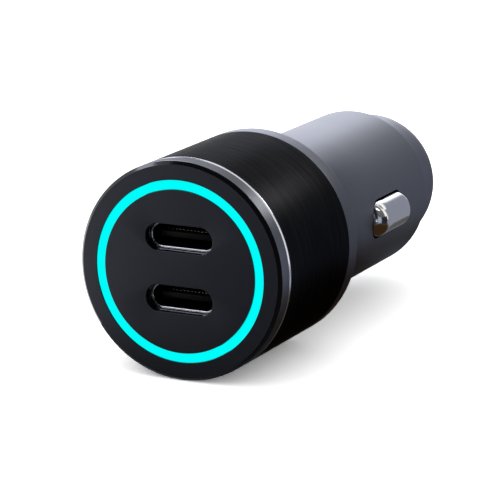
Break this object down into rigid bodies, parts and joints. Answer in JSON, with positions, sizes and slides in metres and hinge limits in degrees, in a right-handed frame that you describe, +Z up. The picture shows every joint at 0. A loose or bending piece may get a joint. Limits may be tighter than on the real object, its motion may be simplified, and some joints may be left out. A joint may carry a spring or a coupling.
{
  "type": "car usb charger plug",
  "caption": "Round charger plug for a car's 12 V socket: USB-C ports in a lit ring, grip sleeve, barrel with sprung side contacts and a sprung tip.",
  "frame": {"origin": "on the plug's axis, where the barrel meets the back of the flange", "axes": "+Y along the axis in the direction the plug is pushed in, +Z up with one port over the other, +X along the ports' width"},
  "size_m": [0.027, 0.0645, 0.027],
  "materials": {
    "gunmetal_anodised": "satin grey anodised, fine bead-blasted grain",
    "black_anodised": "black anodised with fine turned lines and a bright cut front edge",
    "black_panel": "black moulded plastic, smooth satin",
    "cyan_light": "translucent light guide, lit cyan",
    "grey_moulding": "grey moulded plastic, satin, matched to the barrel",
    "board_laminate": "green glass-fibre laminate",
    "port_steel": "drawn stainless steel, satin",
    "black_moulding": "black moulded plastic",
    "contact_brass": "gold-flashed brass",
    "led_body": "clear-topped white LED body",
    "ferrite": "dark grey moulded ferrite",
    "can_aluminium": "plain drawn aluminium",
    "ceramic_body": "fired ceramic, matt",
    "contact_chrome": "bright nickel-chrome plate",
    "spring_steel": "drawn spring steel"
  },
  "bodies": {
    "plug_body": {"housing": "gunmetal_anodised", "trim_ring": "gunmetal_anodised", "grip_sleeve": "black_anodised", "face_panel": "black_panel", "light_ring": "cyan_light", "carrier": "grey_moulding", "port_board": "board_laminate", "main_board": "board_laminate", "usb_shell_upper": "port_steel", "usb_shell_lower": "port_steel", "usb_tongue_upper": "black_moulding", "usb_tongue_lower": "black_moulding", "usb_contacts_upper": "contact_brass", "usb_contacts_lower": "contact_brass", "ring_leds": "led_body", "power_inductor": "ferrite", "input_capacitor": "can_aluminium", "output_capacitors": "can_aluminium", "control_chips": "black_moulding", "input_fuse": "ceramic_body", "chip_components": "ceramic_body", "contact_spring_right": "spring_steel", "contact_spring_left": "spring_steel", "ground_tabs": "contact_brass", "tip_spring": "spring_steel", "tip_terminal": "contact_brass"},
    "tip": {"tip_contact": "contact_chrome"},
    "contact_right": {"side_contact_right": "contact_chrome"},
    "contact_left": {"side_contact_left": "contact_chrome"}
  },
  "joints": [
    {"name": "tip_press", "type": "slide", "parent": "plug_body", "child": "tip", "axis": [0, -1, 0], "range_m": [0, 0.0022], "stiffness_N_per_m": 2500, "springref_m": -0.001, "deforming": ["tip_spring"]},
    {"name": "right_contact_press", "type": "slide", "parent": "plug_body", "child": "contact_right", "axis": [-1, 0, 0], "range_m": [0, 0.00175], "stiffness_N_per_m": 2500, "springref_m": -0.0006, "deforming": ["contact_spring_right"]},
    {"name": "left_contact_press", "type": "slide", "parent": "plug_body", "child": "contact_left", "axis": [1, 0, 0], "range_m": [0, 0.00175], "stiffness_N_per_m": 2500, "springref_m": -0.0006, "deforming": ["contact_spring_left"]}
  ]
}
